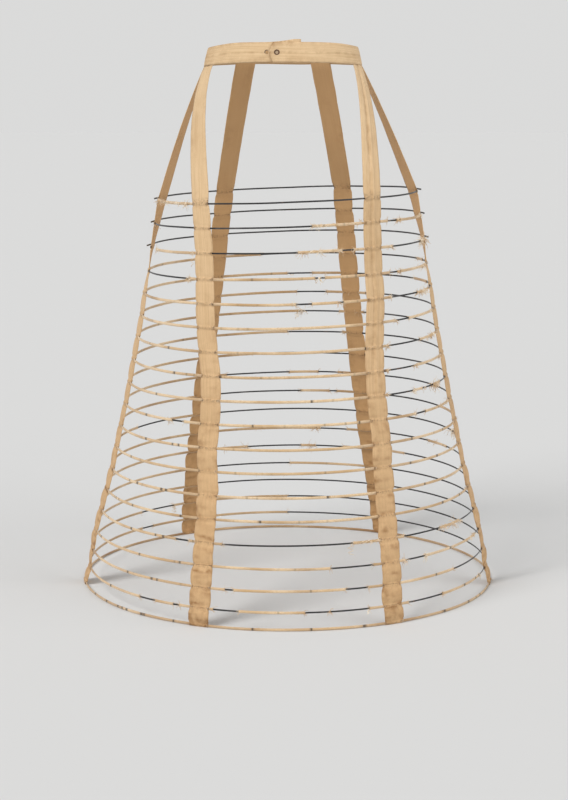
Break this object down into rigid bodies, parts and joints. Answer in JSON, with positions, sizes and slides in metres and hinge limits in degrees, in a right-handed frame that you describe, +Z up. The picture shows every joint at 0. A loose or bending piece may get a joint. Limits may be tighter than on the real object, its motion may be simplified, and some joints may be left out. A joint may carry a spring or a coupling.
{
  "type": "crinoline cage",
  "caption": "Bell-shaped underskirt frame: sprung steel hoops in worn cotton covers, hung from a lapped waistband on double-woven tapes.",
  "frame": {"origin": "on the floor, in the middle of the hem hoop", "axes": "+Z up through the waist, -Y the wearer's front, where the waistband closes, +X the wearer's left"},
  "size_m": [0.6436, 0.6266, 0.8265],
  "materials": {
    "spring_steel": "satin",
    "cotton_cover": "matte",
    "cotton_tape": "matte",
    "rusted_steel": "matte"
  },
  "bodies": {
    "root": {"steel_hoop_01": "spring_steel", "steel_hoop_02": "spring_steel", "steel_hoop_03": "spring_steel", "steel_hoop_04": "spring_steel", "steel_hoop_05": "spring_steel", "steel_hoop_06": "spring_steel", "steel_hoop_07": "spring_steel", "steel_hoop_08": "spring_steel", "steel_hoop_09": "spring_steel", "steel_hoop_10": "spring_steel", "steel_hoop_11": "spring_steel", "steel_hoop_12": "spring_steel", "steel_hoop_13": "spring_steel", "steel_hoop_14": "spring_steel", "steel_hoop_15": "spring_steel", "steel_hoop_16": "spring_steel", "steel_hoop_17": "spring_steel", "steel_hoop_18": "spring_steel", "steel_hoop_19": "spring_steel", "hoop_cover_01": "cotton_cover", "hoop_cover_02": "cotton_cover", "hoop_cover_03": "cotton_cover", "hoop_cover_04": "cotton_cover", "hoop_cover_05": "cotton_cover", "hoop_cover_06": "cotton_cover", "hoop_cover_07": "cotton_cover", "hoop_cover_08": "cotton_cover", "hoop_cover_09": "cotton_cover", "hoop_cover_10": "cotton_cover", "hoop_cover_11": "cotton_cover", "hoop_cover_12": "cotton_cover", "hoop_cover_13": "cotton_cover", "hoop_cover_14": "cotton_cover", "hoop_cover_15": "cotton_cover", "hoop_cover_16": "cotton_cover", "hoop_cover_17": "cotton_cover", "hoop_cover_18": "cotton_cover", "hoop_cover_19": "cotton_cover", "tape_front_left": "cotton_tape", "tape_front_right": "cotton_tape", "tape_side_left": "cotton_tape", "tape_side_right": "cotton_tape", "tape_back_left": "cotton_tape", "tape_back_right": "cotton_tape", "waistband": "cotton_tape", "waist_stud": "rusted_steel"}
  },
  "joints": []
}
